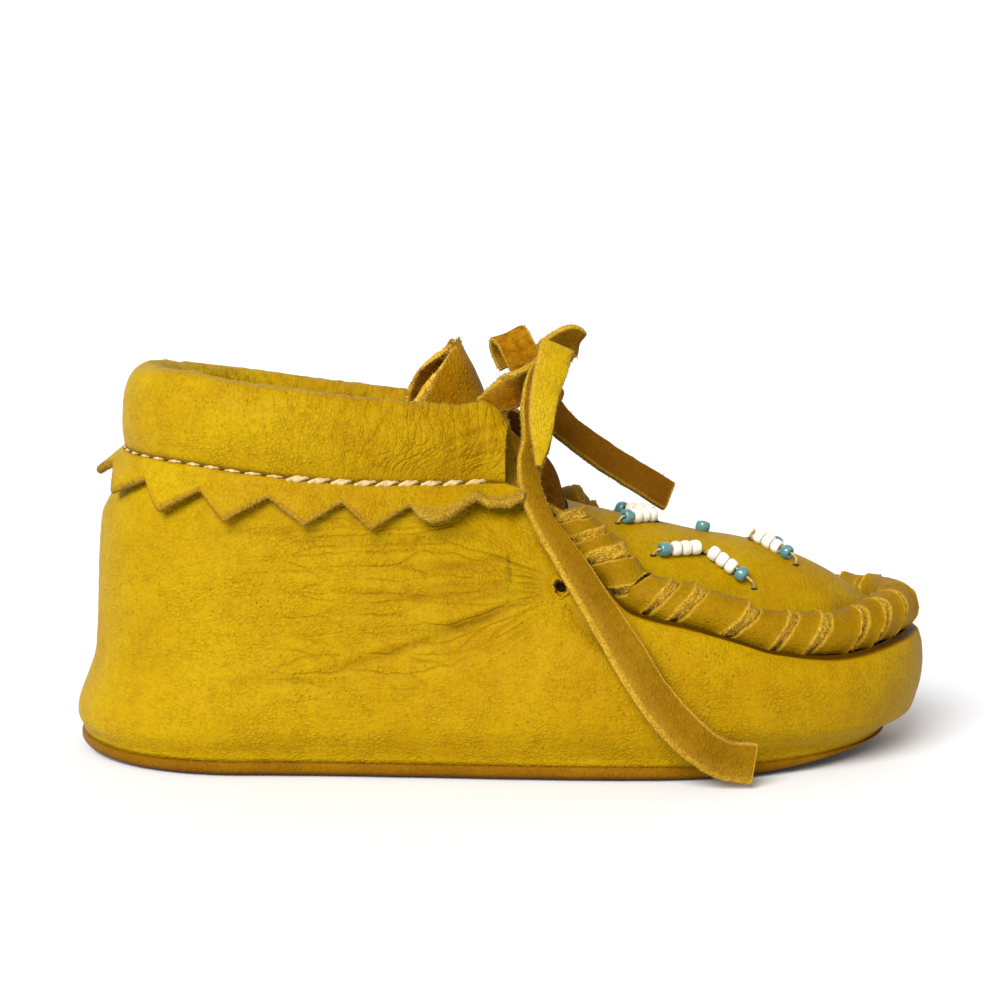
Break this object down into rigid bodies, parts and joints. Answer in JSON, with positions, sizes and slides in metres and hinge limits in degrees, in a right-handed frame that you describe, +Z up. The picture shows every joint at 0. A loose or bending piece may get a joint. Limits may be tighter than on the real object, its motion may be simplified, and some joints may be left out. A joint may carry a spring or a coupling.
{
  "type": "beaded moccasin",
  "caption": "Soft-soled baby moccasin in mustard hide with a beaded apron, whipped seam, toothed folded cuff and a lace tied in a bow.",
  "frame": {"origin": "on the floor under the middle of the shoe's box, laces left out", "axes": "+X to the toe, -Y the side with the hanging lace end, +Z up"},
  "size_m": [0.1262, 0.0608, 0.062],
  "materials": {
    "hide": "soft full-grain hide, satin",
    "sole_hide": "soft hide, matt",
    "tongue_hide": "soft hide with a suede back, matt",
    "lace_hide": "soft hide thong, matt",
    "white_bead": "opaque gloss",
    "blue_bead": "opaque gloss"
  },
  "bodies": {
    "root": {"sole": "sole_hide", "upper": "hide", "vamp": "hide", "tongue": "tongue_hide", "cuff": "hide", "whipped_seam": "hide", "lace_knot": "lace_hide", "lace_loop_near": "lace_hide", "lace_loop_far": "lace_hide", "lace_end_near": "lace_hide", "lace_end_far": "lace_hide", "beads_white_near_back": "white_bead", "beads_white_near_front": "white_bead", "beads_white_far_back": "white_bead", "beads_white_far_front": "white_bead", "beads_white_back_near": "white_bead", "beads_white_back_far": "white_bead", "beads_white_front_near": "white_bead", "beads_white_front_far": "white_bead", "bead_blue_near_back": "blue_bead", "bead_blue_near_front": "blue_bead", "bead_blue_far_back": "blue_bead", "bead_blue_far_front": "blue_bead", "bead_blue_back_near": "blue_bead", "bead_blue_back_far": "blue_bead", "bead_blue_front_near": "blue_bead", "bead_blue_front_far": "blue_bead", "bead_blue_centre": "blue_bead"}
  },
  "joints": []
}
